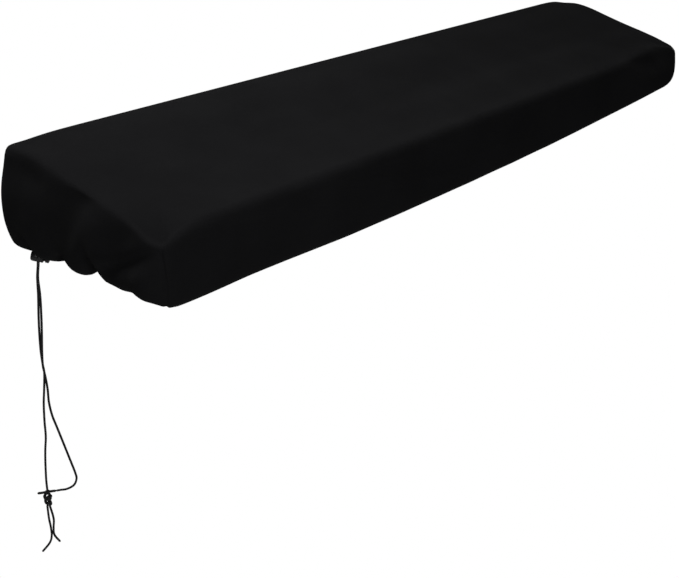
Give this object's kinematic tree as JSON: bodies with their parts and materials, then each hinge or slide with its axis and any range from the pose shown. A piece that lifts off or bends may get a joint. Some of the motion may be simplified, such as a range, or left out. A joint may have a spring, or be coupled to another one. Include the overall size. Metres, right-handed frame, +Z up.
{
  "type": "fitted piano cover",
  "caption": "Black stretch cloth cover shaped over a slim keyboard instrument, with a drawn hem and hanging cords with a barrel lock.",
  "frame": {"origin": "underside of the cloth's top, midway between its ends and between front and back, where it lies on the instrument", "axes": "+X along the cover from the end with the hanging cord to the other end, +Y from front to back, +Z up"},
  "size_m": [1.3702, 0.2895, 0.6014],
  "materials": {
    "cloth": "matt black stretch knit",
    "lock": "satin black moulding",
    "cord": "braided black cord"
  },
  "bodies": {
    "root": {"cover": "cloth", "cord_lock_body": "lock", "cord_lock_button": "lock", "strand_straight": "cord", "strand_bowed": "cord", "knot": "cord", "tail_long": "cord", "tail_short": "cord"}
  },
  "joints": []
}
